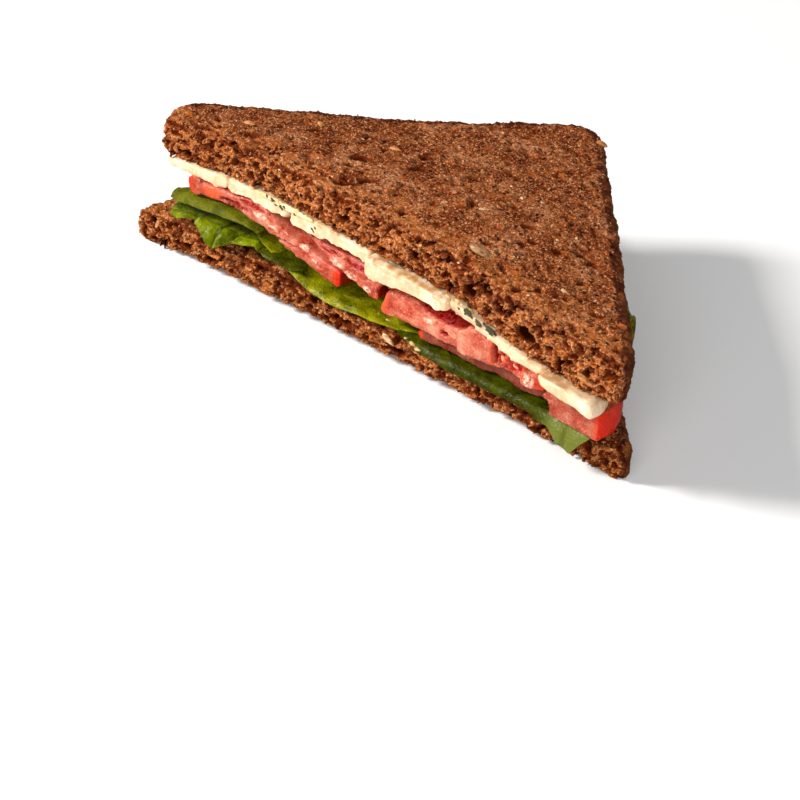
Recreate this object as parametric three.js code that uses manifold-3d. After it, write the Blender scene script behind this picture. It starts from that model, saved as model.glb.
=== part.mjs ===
// Half of a caprese sandwich: dark seeded bread, mozzarella, tomato and spinach,
// cut corner to corner. Millimetres. X runs along the cut, Y from the cut to the
// slice's uncut corner, Z up. The half lies flat on its lower slice.

import * as THREE from 'three';
import { mergeVertices } from 'three/addons/utils/BufferGeometryUtils.js';
import Module from 'manifold-3d';

const wasm = await Module();
wasm.setup();

// ---------------------------------------------------------------- dimensions

const SLICE_SIDE = 118; // side of the square slice before the cut
const HALF_DIAGONAL = SLICE_SIDE / Math.SQRT2;
const GAP = 0.35; // air between pieces that rest on each other
const MARGIN = 12; // how far every piece runs past the cut before the knife

const LOWER_THICK = 9.7; // lower slice at its left end
const LOWER_THIN = 9; // lower slice at its right end
const LOWER_DROOP = 1.5; // how much thinner its left tip is
const LOWER_TURN = THREE.MathUtils.degToRad(3.8); // lower slice against the upper
const LOWER_PIVOT_X = -12;
const LOWER_SHIFT = -2.8; // how far the lower slice lies to the left of the upper

const UNDERSIDE_LEFT = 24.4; // height of the upper slice's underside at the left end
const UNDERSIDE_SLOPE = 0.018; // fall of that underside for each millimetre of X
const UNDERSIDE_RISE = 5; // how much the filling lifts it in the middle
const CROWN_LEFT = 34; // height of the upper slice's top at the left end
const CROWN_SLOPE = 0.007;
const CROWN_RISE = 4.2;
const SAG_DEPTH = 1.8;
const SAG_REACH = 16;
const ARCH = 2; // how far the lower slice's underside lifts along the cut

const LEAF_THICK = 0.7;
const LEAF_BEND = 2; // radius at which most leaves turn over the bread's edge
const FRONT_CROWDING = 1.7; // above 1, a leaf's facets are finer towards the cut

const COLOURS = {
  bread: 0x7a4527,
  mozzarella: 0xf6ecc8,
  tomato: 0xc63a26,
  spinach: 0x3f7a1c,
};

// ------------------------------------------------------------- small helpers

const { clamp, degToRad, lerp, smoothstep } = THREE.MathUtils;

// Value at x on a smooth run through stations of [x, value].
function along(stations, x) {
  const last = stations.length - 1;
  if (x <= stations[0][0]) return stations[0][1];
  for (let i = 0; i < last; i += 1) {
    const [x0, v0] = stations[i];
    const [x1, v1] = stations[i + 1];
    if (x <= x1) return lerp(v0, v1, smoothstep(x, x0, x1));
  }
  return stations[last][1];
}

// Joins shared vertices and drops the empty triangles of poles.
function closed(geometry) {
  geometry.deleteAttribute('normal');
  geometry.deleteAttribute('uv');
  const merged = mergeVertices(geometry, 1e-5);
  const { array } = merged.index;
  const kept = [];
  for (let i = 0; i < array.length; i += 3) {
    const [a, b, c] = [array[i], array[i + 1], array[i + 2]];
    if (a !== b && b !== c && c !== a) kept.push(a, b, c);
  }
  merged.setIndex(kept);
  return merged;
}

function solidOf(geometry) {
  return new wasm.Manifold(new wasm.Mesh({
    numProp: 3,
    vertProperties: new Float32Array(geometry.attributes.position.array),
    triVerts: new Uint32Array(geometry.index.array),
  }));
}

function geometryOf(solid) {
  const cut = solid.getMesh();
  const geometry = new THREE.BufferGeometry();
  const points = new Float32Array(cut.vertProperties);
  geometry.setAttribute('position', new THREE.BufferAttribute(points, 3));
  geometry.setIndex(new THREE.BufferAttribute(new Uint32Array(cut.triVerts), 1));
  return geometry;
}

// Everything in front of an upright plane through (x, y), turned about Z.
function knife(y, turn = 0, x = 0) {
  const blade = new THREE.BoxGeometry(4 * SLICE_SIDE, SLICE_SIDE, SLICE_SIDE);
  blade.translate(0, -SLICE_SIDE / 2, 0).rotateZ(turn).translate(x, y, 0);
  return solidOf(closed(blade));
}

// ------------------------------------------------------- levels in the stack

function lowerTop(x) {
  const droop = LOWER_DROOP * (1 - smoothstep(x, -78, -64));
  return lerp(LOWER_THICK, LOWER_THIN, smoothstep(x, -10, 20)) - droop;
}

// The lower slice rests on its corners and its back; the cut lifts between them.
function arch(x, y) {
  const between = smoothstep(x, -74, -52) * (1 - smoothstep(x, 52, 72));
  return ARCH * between * (1 - smoothstep(y, 4, 22));
}

// The upper slice sags between its corners, most in the middle of its left side.
function sag(x, y) {
  return SAG_DEPTH * Math.exp(-((x + 36) ** 2 + (y - 42) ** 2) / (2 * SAG_REACH ** 2));
}

function underside(x, y) {
  const hump = smoothstep(x, -72, -35) * (1 - smoothstep(x, 31, 54)) * (1 - smoothstep(y, 10, 60));
  return UNDERSIDE_LEFT - UNDERSIDE_SLOPE * (x + 70) + UNDERSIDE_RISE * hump - 1.5 * sag(x, y);
}

// How much lower the underside is at y than at the cut.
function fallAway(x, y) {
  return underside(x, 0) - underside(x, y);
}

function crown(x, y) {
  const hump = smoothstep(x, -75, -25) * (1 - smoothstep(x, 28, 64)) * (1 - smoothstep(y, 15, 75));
  return CROWN_LEFT - CROWN_SLOPE * (x + 70) + CROWN_RISE * hump - sag(x, y);
}

// ------------------------------------------------- discs drawn to an outline

// A disc of radius 1 and height 0 to 1, flat out to the share `edge` of its radius,
// with a rim that is round at squareness 1 and boxy below it.
function turnedDisc({ rings, edge, rimSteps, squareness }, around) {
  const profile = [];
  for (let i = 0; i <= rings; i += 1) profile.push(new THREE.Vector2((edge * i) / rings, 0));
  for (let i = 1; i < rimSteps; i += 1) {
    const turn = Math.PI * (i / rimSteps - 0.5);
    const out = Math.cos(turn) ** squareness;
    const up = Math.sign(Math.sin(turn)) * Math.abs(Math.sin(turn)) ** squareness;
    profile.push(new THREE.Vector2(edge + (1 - edge) * out, (1 + up) / 2));
  }
  for (let i = rings; i >= 0; i -= 1) profile.push(new THREE.Vector2((edge * i) / rings, 1));
  return { geometry: new THREE.LatheGeometry(profile, around), profile };
}

// Points along a path, each of its curves in its own number of steps.
function stepsAlong(path, steps) {
  return path.curves.flatMap((curve, i) => curve.getPoints(steps[i]).slice(0, -1));
}

// Draws a turned disc out to an outline's points, anticlockwise, and between two
// height functions.
function slab({ disc, outline, centre, low, high }) {
  const { geometry, profile } = turnedDisc(disc, outline.length);
  const position = geometry.attributes.position;
  for (let i = 0; i < position.count; i += 1) {
    const { x: share, y: rise } = profile[i % profile.length];
    const rim = outline[Math.floor(i / profile.length) % outline.length];
    const x = centre.x + (rim.x - centre.x) * share;
    const y = centre.y + (rim.y - centre.y) * share;
    position.setXYZ(i, x, y, lerp(low(x, y), high(x, y), rise));
  }
  return closed(geometry);
}

// --------------------------------------------------------------------- bread

const BREAD_DISC = { rings: 5, edge: 0.965, rimSteps: 4, squareness: 0.45 };

// Outline of a half slice, anticlockwise: a square loaf's slice whose left side is
// drawn in between its corners, run past the cut for the knife to trim. `left` and
// `right` are its ends on the cut, `bulge` how far the left corner swells, `corner`
// where the right corner's round begins.
function sliceOutline({ left, bulge, right, corner }) {
  const apexRound = 6.5; // where the uncut corner's round meets the sides
  const apexY = HALF_DIAGONAL - apexRound;
  const path = new THREE.Path();
  path.moveTo(right - 2, -MARGIN);
  path.lineTo(right, 0);
  path.quadraticCurveTo(right + 2, HALF_DIAGONAL - right - 1.4, corner, HALF_DIAGONAL - corner);
  path.lineTo(apexRound, apexY);
  path.quadraticCurveTo(0, HALF_DIAGONAL, -apexRound - 1, apexY - 1);
  path.quadraticCurveTo(-33.5, 42, -62.5, 19);
  path.quadraticCurveTo(bulge, 11.5, left, 0);
  path.lineTo(left + 2, -MARGIN);
  path.closePath();
  return stepsAlong(path, [1, 5, 7, 6, 8, 6, 1, 8]);
}

function wholeSlice({ ends, turn, shift, low, high }) {
  const pivot = new THREE.Vector2(LOWER_PIVOT_X, 0);
  const move = new THREE.Vector2(shift, 0);
  const outline = sliceOutline(ends).map((point) => point.rotateAround(pivot, turn).add(move));
  const centre = new THREE.Vector2(0, 24);
  return slab({ disc: BREAD_DISC, outline, centre, low, high });
}

const lowerSlice = wholeSlice({
  ends: { left: -73, bulge: -76, right: 81, corner: 76.5 },
  turn: LOWER_TURN,
  shift: LOWER_SHIFT,
  low: arch,
  high: lowerTop,
});
const upperSlice = wholeSlice({
  ends: { left: -70, bulge: -79.8, right: 78, corner: 75 },
  turn: 0,
  shift: 0,
  low: underside,
  high: crown,
});

// ---------------------------------------------------------------- mozzarella

const CHEESE_DISC = { rings: 2, edge: 0.9, rimSteps: 3, squareness: 0.8 };

// Strips of sliced mozzarella side by side under the upper slice: where each starts
// and ends on the cut, how far it stops inside the crust, its thickness at both ends,
// and how far it stands out of the cut.
const CHEESES = [
  { from: -67.8, to: -45.3, inset: 5, thick: [1.8, 3.9], proud: 0.3 },
  { from: -44.7, to: -24, inset: 7, thick: [4, 3.4], proud: 0.2 },
  { from: -23.4, to: 3.8, inset: 6, thick: [4, 3.2], proud: 0 },
  { from: 4.4, to: 30, inset: 8, thick: [5.4, 3.8], proud: 2 },
  { from: 30.6, to: 57.6, inset: 6, thick: [3, 1.2], proud: 0.6 },
  { from: 58.2, to: 74.8, inset: 4, thick: [2, 4.2], proud: 2.6 },
];

// Y of the crust above x, near enough to keep the filling inside it.
function crustAt(x) {
  if (x > 0) return HALF_DIAGONAL - x - 2;
  return along([[-72, 12], [-62, 20], [-36, 40], [-18, 60], [0, HALF_DIAGONAL - 6]], x);
}

// A four-cornered outline with each corner cut to a curve, anticlockwise.
function roundedOutline(corners, radius) {
  const path = new THREE.Path();
  const point = (i) => corners[i % corners.length];
  const beside = (i, j) => point(i).clone().lerp(point(j), radius / point(i).distanceTo(point(j)));
  const count = corners.length;
  const start = beside(0, 1);
  path.moveTo(start.x, start.y);
  for (let i = 1; i <= count; i += 1) {
    const before = beside(i, i - 1);
    const after = beside(i, i + 1);
    path.lineTo(before.x, before.y);
    path.quadraticCurveTo(point(i).x, point(i).y, after.x, after.y);
  }
  return stepsAlong(path, [2, 3, 2, 3, 2, 3, 2, 3]);
}

// The room that the upper slice takes, with the air below it.
const underBread = solidOf(upperSlice.clone().translate(0, 0, -GAP));

function cheese({ from, to, inset, thick, proud }) {
  const backLeft = Math.max(crustAt(from) - inset, 6);
  const backRight = Math.max(crustAt(to) - inset, 4);
  const corners = [
    new THREE.Vector2(from, -MARGIN),
    new THREE.Vector2(to, -MARGIN),
    new THREE.Vector2(to, backRight),
    new THREE.Vector2(from, backLeft),
  ];
  const outline = roundedOutline(corners, 4);
  const centre = new THREE.Vector2((from + to) / 2, (backLeft + backRight) / 6);
  const thickness = (x) => lerp(thick[0], thick[1], clamp((x - from) / (to - from), 0, 1));
  const high = (x, y) => underside(x, y) + 2;
  const low = (x, y) => underside(x, y) - GAP - thickness(x);
  const strip = slab({ disc: CHEESE_DISC, outline, centre, low, high });
  return solidOf(strip).subtract(knife(-proud)).subtract(underBread);
}

// -------------------------------------------------------------------- tomato

const TOMATO_DISC = { rings: 2, edge: 0.95, rimSteps: 3, squareness: 0.7 };

const TOMATO_SIDES = 32;

// Round slices, each from its centre, radius and the height of its two faces, and the
// knife's place. Later ones lie on the earlier ones.
const TOMATOES = [
  { // thin at the left, sunk and thick at its right end
    centre: [-33, 6],
    radius: 27.4,
    low: (x, y) => along([[-60, 18.4], [-46, 20.2], [-33, 19.3], [-20, 16.2], [-7, 13.2]], x)
      - 0.7 * fallAway(x, y),
    high: (x, y) => along([[-58, 23.6], [-32, 24.2], [-20, 20.2], [-7, 18.2]], x) - fallAway(x, y),
    cutY: 0.2,
    turn: 1.5,
  },
  { // small dull slice low in the stack
    centre: [38, 2],
    radius: 20.5,
    low: () => 10.6,
    high: (x) => 13.2 + 0.03 * (x - 38),
    cutY: 0.6,
    turn: 3.4,
  },
  { // the long slice in the middle of the cut
    centre: [32, 8],
    radius: 26.5,
    low: (x) => 14.2 + 0.03 * (x - 38),
    high: (x, y) => along([[8, 20.2], [34, 22], [46, 21.6], [58, 20.6]], x) - fallAway(x, y),
    cutY: 0,
    turn: 2.2,
  },
  { // the end slice, its skin showing past the cheese
    centre: [60.4, 4.5],
    radius: 13.4,
    low: () => 10.6,
    high: () => 17.8,
    cutY: 1.6,
    turn: 0,
  },
  { // the large slice at the back, its edge wedged between the others
    centre: [-3, 29],
    radius: 31,
    low: (x, y) => lerp(17 - 0.25 * clamp(x, -14, 8), 15, smoothstep(y, 6, 20)),
    high: (x, y) => underside(x, y) - 5.8,
    cutY: 0.4,
    turn: 1,
  },
];

function tomatoSlab({ centre, radius, low, high }, grow) {
  const middle = new THREE.Vector2(...centre);
  const outline = Array.from({ length: TOMATO_SIDES }, (_, i) => {
    const angle = (2 * Math.PI * i) / TOMATO_SIDES;
    const reach = radius * (1 + 0.015 * Math.cos(5 * angle)) + grow;
    return new THREE.Vector2(Math.cos(angle), Math.sin(angle)).multiplyScalar(reach).add(middle);
  });
  return solidOf(slab({
    disc: TOMATO_DISC,
    outline,
    centre: middle,
    low: (x, y) => low(x, y) - grow,
    high: (x, y) => high(x, y) + grow,
  }));
}

// ------------------------------------------------------------------- spinach

// Y of the lower slice's cut face above x.
function lowerFace(x) {
  return (x - LOWER_PIVOT_X) * Math.tan(LOWER_TURN);
}

// Whole leaves, each from the two ends of its midrib and its half widths towards the
// cut and away from it. What passes the line `edge` turns down over the bread by up to
// `turn` degrees, at the radius `bend`. `fringe` widens the front margin by that much.
const LEAVES = [
  { // folded under the tomato at the left end, its pale back outwards
    stem: [-64, -2.4], tip: [-33, -0.5], front: 1.7, back: 10,
    level: (x) => along([[-64, 16.9], [-56, 17.9], [-46, 19.1], [-38, 18.8], [-33, 17.7]], x),
    ripple: 0.15, waves: 2, edge: () => -0.4, turn: 55,
  },
  { // crumpled, bright, spilling over the lower slice
    stem: [-63.2, -2.6], tip: [-20, 5], front: 4.6, back: 12,
    level: (x) => along([[-64, 13], [-50, 13.6], [-36, 13.2], [-22, 11.7]], x),
    ripple: 0.4, waves: 3.5, edge: () => -1.2, turn: 58,
    fringe: (x) => along([[-60, -1], [-54, -2.2], [-46, 3], [-40, 0], [-33, -0.2], [-27, 1.6]], x),
  },
  { // long, following the tomato down to the middle of the cut
    stem: [-39, 5], tip: [20.4, 9.5], front: 9.4, back: 12,
    level: (x) => along([[-38, 15.6], [-22, 13.7], [-13, 11.3], [10, 10.4], [19, 9.8]], x),
    ripple: 0.25, waves: 4, edge: (x) => lowerFace(x) - 0.1, turn: 62,
  },
  { // rolled over at the cut, its tip hanging free near the right end
    stem: [25.2, 0.6], tip: [72.5, 6], front: 4.2, back: 9,
    level: (x) => lowerTop(x) + lerp(0.6, 1.05, smoothstep(x, 25, 31)),
    ripple: 0.05, waves: 3, edge: (x) => lowerFace(x) - 1.1, bend: 1.1,
    turn: (x) => lerp(165, 76, smoothstep(x, 50, 58)),
    fringe: (x) => along([[55, 0], [58, -0.2], [65.8, 6.6], [70, 5]], x),
  },
  { // at the right crust, its margin showing past the bread
    stem: [19, 51], tip: [53, 24], front: 4, back: 12.6,
    level: () => 12, ripple: 1.4, waves: 3, edge: () => -MARGIN, turn: 0,
  },
  { // at the left crust
    stem: [-60, 15], tip: [-17, 51], front: 8, back: 8,
    level: () => 12.6, ripple: 2, waves: 3.5, edge: () => -MARGIN, turn: 0,
  },
  { // at the uncut corner
    stem: [-15, 58], tip: [18, 56], front: 7, back: 15,
    level: () => 11.8, ripple: 1.2, waves: 2.5, edge: () => -MARGIN, turn: 0,
  },
];

function leaf(spec) {
  const geometry = new THREE.BoxGeometry(1, 1, 1, 14, 7, 1);
  const position = geometry.attributes.position;
  const stem = new THREE.Vector2(...spec.stem);
  const tip = new THREE.Vector2(...spec.tip);
  const ahead = tip.clone().sub(stem).normalize();
  const aside = new THREE.Vector2(-ahead.y, ahead.x);
  const bend = spec.bend ?? LEAF_BEND;
  for (let i = 0; i < position.count; i += 1) {
    const u = position.getX(i) + 0.5;
    const v = 2 * (position.getY(i) + 0.5) ** FRONT_CROWDING - 1;
    const rise = position.getZ(i) * LEAF_THICK;
    const swell = Math.max(Math.sin(Math.PI * clamp(u, 0.02, 0.98)) ** 0.45, 0.1);
    const spine = stem.clone().lerp(tip, u);
    const fringe = v < 0 && spec.fringe ? spec.fringe(spine.x) : 0;
    const width = (v < 0 ? spec.front + fringe : spec.back) * swell;
    const flat = spine.addScaledVector(aside, v * width);

    const wave = Math.sin(spec.waves * Math.PI * u * 2 + 2.4 * v) * (0.4 + 0.6 * Math.abs(v));
    const height = spec.level(flat.x) + spec.ripple * wave;
    const edge = spec.edge(flat.x);
    const most = degToRad(typeof spec.turn === 'function' ? spec.turn(flat.x) : spec.turn);
    const over = Math.max(0, edge - flat.y);
    const turn = Math.min(over / bend, most);
    const straight = Math.max(0, over - bend * most);
    const out = bend * Math.sin(turn) + straight * Math.cos(turn) + rise * Math.sin(turn);
    const down = bend * (1 - Math.cos(turn)) + straight * Math.sin(turn);
    const y = over > 0 ? edge - out : flat.y;
    position.setXYZ(i, flat.x, y, height - down + rise * Math.cos(turn));
  }
  return closed(geometry);
}

// ------------------------------------------------------------------ assembly

const sandwich = new THREE.Group();

function add(name, geometry, colour, roughness) {
  const material = new THREE.MeshStandardMaterial({ color: colour, roughness, metalness: 0 });
  const mesh = new THREE.Mesh(geometry, material);
  mesh.name = name;
  sandwich.add(mesh);
}

const lowerCut = knife(0, LOWER_TURN, LOWER_PIVOT_X);
add('bread_bottom', geometryOf(solidOf(lowerSlice).subtract(lowerCut)), COLOURS.bread, 0.95);
add('bread_top', geometryOf(solidOf(upperSlice).subtract(knife(0))), COLOURS.bread, 0.95);

const cheeses = CHEESES.map(cheese);
cheeses.forEach((solid, i) => {
  add(`mozzarella_${i + 1}`, geometryOf(solid), COLOURS.mozzarella, 0.45);
});

const cheeseRoom = CHEESES.map((spec) => cheese({
  ...spec,
  from: spec.from - GAP,
  to: spec.to + GAP,
  inset: spec.inset - GAP,
  thick: spec.thick.map((t) => t + GAP),
  proud: spec.proud + GAP,
}));
const tomatoRoom = [];
TOMATOES.forEach((spec, i) => {
  let slice = tomatoSlab(spec, 0).subtract(knife(spec.cutY, degToRad(spec.turn), LOWER_PIVOT_X));
  [...cheeseRoom, ...tomatoRoom].forEach((room) => {
    slice = slice.subtract(room);
  });
  tomatoRoom.push(tomatoSlab(spec, GAP));
  add(`tomato_${i + 1}`, geometryOf(slice), COLOURS.tomato, 0.3);
});

LEAVES.forEach((spec, i) => {
  add(`spinach_${i + 1}`, leaf(spec), COLOURS.spinach, 0.35);
});

// The origin is the middle of the footprint, on the surface the half lies on.
const box = new THREE.Box3().setFromObject(sandwich);
const middle = box.getCenter(new THREE.Vector3());
sandwich.position.set(-middle.x, -middle.y, -box.min.z);

export default sandwich;
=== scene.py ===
"""Half of a caprese sandwich on dark seeded bread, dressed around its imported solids.

Shapes are worked on a bench in millimetres: X along the cut, Y from the cut towards the
uncut corner, Z up from the surface that the half lies on. Each finished piece goes back
to the frame's metres in its mesh.
"""

import math
import random

import bmesh
import bpy
import numpy as np
from mathutils import Matrix, Vector, noise
from mathutils.bvhtree import BVHTree
from mathutils.kdtree import KDTree


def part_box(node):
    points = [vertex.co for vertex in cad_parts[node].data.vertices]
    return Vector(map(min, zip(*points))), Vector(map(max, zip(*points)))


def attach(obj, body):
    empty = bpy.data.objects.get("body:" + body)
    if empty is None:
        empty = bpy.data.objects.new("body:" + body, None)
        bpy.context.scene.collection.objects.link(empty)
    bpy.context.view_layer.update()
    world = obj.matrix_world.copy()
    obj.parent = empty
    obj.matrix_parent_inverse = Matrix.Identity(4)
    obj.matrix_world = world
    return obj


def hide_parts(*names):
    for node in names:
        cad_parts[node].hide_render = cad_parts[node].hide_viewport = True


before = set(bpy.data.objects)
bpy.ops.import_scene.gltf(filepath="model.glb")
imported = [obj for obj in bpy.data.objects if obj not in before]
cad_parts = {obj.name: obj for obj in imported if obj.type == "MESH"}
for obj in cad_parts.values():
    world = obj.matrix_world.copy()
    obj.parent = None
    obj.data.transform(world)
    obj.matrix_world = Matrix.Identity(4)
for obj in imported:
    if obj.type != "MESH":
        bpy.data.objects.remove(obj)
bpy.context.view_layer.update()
noise.seed_set(1)  # noise vectors would follow the clock otherwise

# ---------------------------------------------------------------- the bench

MM = 0.001
BENCH_X = -1.0335  # the bench's origin in the frame, along the cut
BENCH_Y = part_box("bread_top")[0].y / MM
TO_FRAME = Matrix.Diagonal((MM, MM, MM, 1)) @ Matrix.Translation((BENCH_X, BENCH_Y, 0))
TO_BENCH = TO_FRAME.inverted()

LOWER_TURN = math.radians(3.8)  # lower slice against the upper
LOWER_PIVOT_X = -12
LOWER_HEIGHT = (9.7, 9)  # top of the lower slice, left and right
LEFT_DROOP = 1.5  # how far the lower slice's left end bends down
FLOOR_CLEARANCE = 0.02
SAME_POINT = 1e-6  # metres between points that are joined


def smoothstep(value, low, high):
    share = min(max((value - low) / (high - low), 0), 1)
    return share * share * (3 - 2 * share)


def lerp(a, b, share):
    return a + (b - a) * share


def along(stations, x):
    """Value at x on a smooth run through stations of (x, value)."""
    if x <= stations[0][0]:
        return stations[0][1]
    for (x0, v0), (x1, v1) in zip(stations, stations[1:]):
        if x <= x1:
            return lerp(v0, v1, smoothstep(x, x0, x1))
    return stations[-1][1]


def lower_face(x):
    """Y of the lower slice's cut face above x."""
    return (x - LOWER_PIVOT_X) * math.tan(LOWER_TURN)


def lower_top(x):
    """Height of the lower slice's top at x."""
    droop = LEFT_DROOP * (1 - smoothstep(x, -78, -64))
    return lerp(*LOWER_HEIGHT, smoothstep(x, -10, 20)) - droop


def shape_of(node):
    """A CAD node's shape with its loose triangles joined, on the bench."""
    bm = bmesh.new()
    bm.from_mesh(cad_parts[node].data)
    bmesh.ops.remove_doubles(bm, verts=bm.verts, dist=SAME_POINT)
    bm.transform(TO_BENCH)
    return bm


def evened(bm, size):
    """The same shape in even quads of about that size."""
    mesh = bpy.data.meshes.new("blank")
    bm.to_mesh(mesh)
    bm.free()
    blank = bpy.data.objects.new("blank", mesh)
    bpy.context.scene.collection.objects.link(blank)
    even = blank.modifiers.new("even", "REMESH")
    even.mode = "VOXEL"
    even.voxel_size = size
    bpy.context.view_layer.update()
    solid = blank.evaluated_get(bpy.context.evaluated_depsgraph_get())
    result = bpy.data.meshes.new_from_object(solid)
    bm = bmesh.new()
    bm.from_mesh(result)
    bpy.data.objects.remove(blank)
    bpy.data.meshes.remove(result)
    bpy.data.meshes.remove(mesh)
    return bm


def refine(bm, wanted):
    """Halves the quads that are wanted."""
    edges = dict.fromkeys(edge for face in bm.faces if wanted(face) for edge in face.edges)
    bmesh.ops.subdivide_edges(bm, edges=list(edges), cuts=1, use_grid_fill=True)
    bm.normal_update()


def stocked(bm):
    """Places and outward directions of all vertices, as arrays."""
    bm.normal_update()
    places = np.array([vertex.co for vertex in bm.verts])
    outward = np.array([vertex.normal for vertex in bm.verts])
    return places, outward


def put_back(bm, places):
    """Moves the vertices to their new places, none of them into the floor."""
    places[:, 2] = np.maximum(places[:, 2], FLOOR_CLEARANCE)
    for vertex, place in zip(bm.verts, places):
        vertex.co = place


def rough(places, wavelength, octaves=4, shift=0):
    """Fractal noise at each place, about -1 to 1."""
    return np.array([
        noise.fractal(Vector(place) / wavelength + Vector((shift, 0, 0)), 1, 2, octaves)
        for place in places
    ])


def piece(name, bm, finish, nodes=(), marks=None, smooth=True):
    """Finishes a piece: its mesh goes back to the frame and rides on the body."""
    bm.transform(TO_FRAME)
    mesh = bpy.data.meshes.new(name)
    bm.to_mesh(mesh)
    bm.free()
    for polygon in mesh.polygons:
        polygon.use_smooth = smooth
    for mark, values in (marks or {}).items():
        layer = mesh.attributes.new(mark, "FLOAT", "POINT")
        layer.data.foreach_set("value", np.asarray(values, np.float32))
    mesh.materials.append(finish)
    made = bpy.data.objects.new(name, mesh)
    bpy.context.scene.collection.objects.link(made)
    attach(made, "root")
    if nodes:
        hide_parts(*nodes)
    return made


# ---------------------------------------------------------------- finishes


def colour(code):
    """Linear colour of a six-digit colour code."""
    parts = [int(code[i:i + 2], 16) / 255 for i in (0, 2, 4)]
    linear = [p / 12.92 if p < 0.04045 else ((p + 0.055) / 1.055) ** 2.4 for p in parts]
    return (*linear, 1)


class Finish:
    """A Principled material fed by patterns, whose sizes are in millimetres."""

    def __init__(self, name, **sockets):
        self.material = bpy.data.materials.new(name)
        self.material.use_nodes = True
        self.tree = self.material.node_tree
        self.shader = self.tree.nodes["Principled BSDF"]
        for socket, value in sockets.items():
            title = socket.replace("_", " ").title().replace("Ior", "IOR")
            self.shader.inputs[title].default_value = value
        held = self.node("ShaderNodeTexCoord", {})
        self.bench = self.node("ShaderNodeMapping", {
            "Vector": held.outputs["Object"],
            "Location": (-BENCH_X, -BENCH_Y, 0),
            "Scale": (1 / MM, 1 / MM, 1 / MM),
        }).outputs[0]

    def node(self, kind, inputs, **settings):
        made = self.tree.nodes.new(kind)
        for key, value in settings.items():
            setattr(made, key, value)
        for key, value in inputs.items():
            if isinstance(value, bpy.types.NodeSocket):
                self.tree.links.new(value, made.inputs[key])
            else:
                made.inputs[key].default_value = value
        return made

    def lay(self, top, share):
        """Lays a colour or a pattern over what is there, by a share."""
        top = colour(top) if isinstance(top, str) else top
        self.base = self.blend(share, self.base, top)

    def finished(self, roughness, normal):
        sockets = {"Base Color": self.base, "Roughness": roughness, "Normal": normal}
        for socket, value in sockets.items():
            self.tree.links.new(value, self.shader.inputs[socket])
        return self.material

    def placed(self, centre=(0, 0, 0), stretch=(1, 1, 1)):
        """The bench's coordinates measured from a centre, then stretched."""
        scale = [1 / s for s in stretch]
        moved = [-c * s for c, s in zip(centre, scale)]
        inputs = {"Vector": self.bench, "Location": moved, "Scale": scale}
        return self.node("ShaderNodeMapping", inputs).outputs[0]

    def grain(self, wavelength, detail=3, roughness=0.5, distortion=0, stretch=(1, 1, 1)):
        return self.node("ShaderNodeTexNoise", {
            "Vector": self.placed(stretch=stretch),
            "Scale": 1 / wavelength,
            "Detail": detail,
            "Roughness": roughness,
            "Distortion": distortion,
        }).outputs["Fac"]

    def cells(self, size, feature="F1", stretch=(1, 1, 1), output="Distance"):
        return self.node("ShaderNodeTexVoronoi", {
            "Vector": self.placed(stretch=stretch),
            "Scale": 1 / size,
        }, feature=feature).outputs[output]

    def mark(self, name):
        found = self.node("ShaderNodeAttribute", {}, attribute_name=name)
        return found.outputs["Fac"]

    def levels(self, value, low, high, start=0.0, end=1.0):
        return self.node("ShaderNodeMapRange", {
            "Value": value, "From Min": low, "From Max": high, "To Min": start, "To Max": end,
        }, interpolation_type="SMOOTHSTEP").outputs[0]

    def maths(self, operation, a, b=0):
        return self.node("ShaderNodeMath", {0: a, 1: b}, operation=operation).outputs[0]

    def times(self, a, b):
        return self.maths("MULTIPLY", a, b)

    def blend(self, share, a, b):
        return self.node("ShaderNodeMix", {0: share, 6: a, 7: b}, data_type="RGBA").outputs[2]

    def ramp(self, value, stops):
        made = self.node("ShaderNodeValToRGB", {"Fac": value})
        elements = made.color_ramp.elements
        while len(elements) < len(stops):
            elements.new(0.5)
        for element, (position, code) in zip(elements, stops):
            element.position = position
            element.color = colour(code)
        return made.outputs[0]

    def bump(self, height, depth, strength=1.0, under=None):
        inputs = {"Height": height, "Distance": depth * MM, "Strength": strength}
        if under is not None:
            inputs["Normal"] = under
        return self.node("ShaderNodeBump", inputs).outputs[0]

    def components(self, vector):
        return self.node("ShaderNodeSeparateXYZ", {0: vector}).outputs


CRUMB = {
    "shaded": "682004",
    "lit": "be7848",
    "pale fibre": "e8ae80",
    "dark fibre": "521602",
    "wall": "d0783a",
    "wall shade": "602004",
    "wall fibre": "f0bc90",
    "dark bran": "341206",
    "rusty bran": "b85c22",
    # the pore and pit colours below are painted shade down the holes
    "pore_shade": "3a1304",
    "pit side shade": "6e2608",
    "pit floor shade": "2c0a00",
    "crust edge": "3c1610",
}
CRUST = [(0.32, "40200f"), (0.48, "68351b"), (0.62, "8c502b"), (0.76, "a86a3c")]
MOZZARELLA = [(0.34, "d4aa82"), (0.52, "e2c09a"), (0.68, "ead2b4")]
# the brown under the bread is partly painted shadow of the bread and partly stain
CURD, CHEESE_SHADE, BREAD_SHADOW_AND_STAIN = "f6e6cc", "cfa068", "b5824a"
TOMATO_FLESH = [(0.36, "982612"), (0.5, "b44630"), (0.64, "c86c52")]
TOMATO_CORE = [(0.36, "a83c28"), (0.5, "c0624a"), (0.64, "d48a70")]
TOMATO = {
    "pale streak": "e29272",
    "red streak": "8e1408",
    "frost": "eea888",
    "frost shade": "8e1206",
    "dull": "5e2018",
    "under skin": "c8401c",
    "skin": "c82408",
    "rind": "c85430",
    # painted shade: the sides of a slice that face right are darkened with the colour below
    "end": "7a1006",
    # the colour below is painted shade in carved hollows, and the jelly's own dark red
    "pulp_and_shade": "980a08",
    "pip": "d0583c",
    "curd": "f4ccb2",
}
# the crease colour is painted shade in the leaf's low folds
LEAF_TIP, LEAF_CREASE_SHADE = "6e7430", "1a2000"


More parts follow.
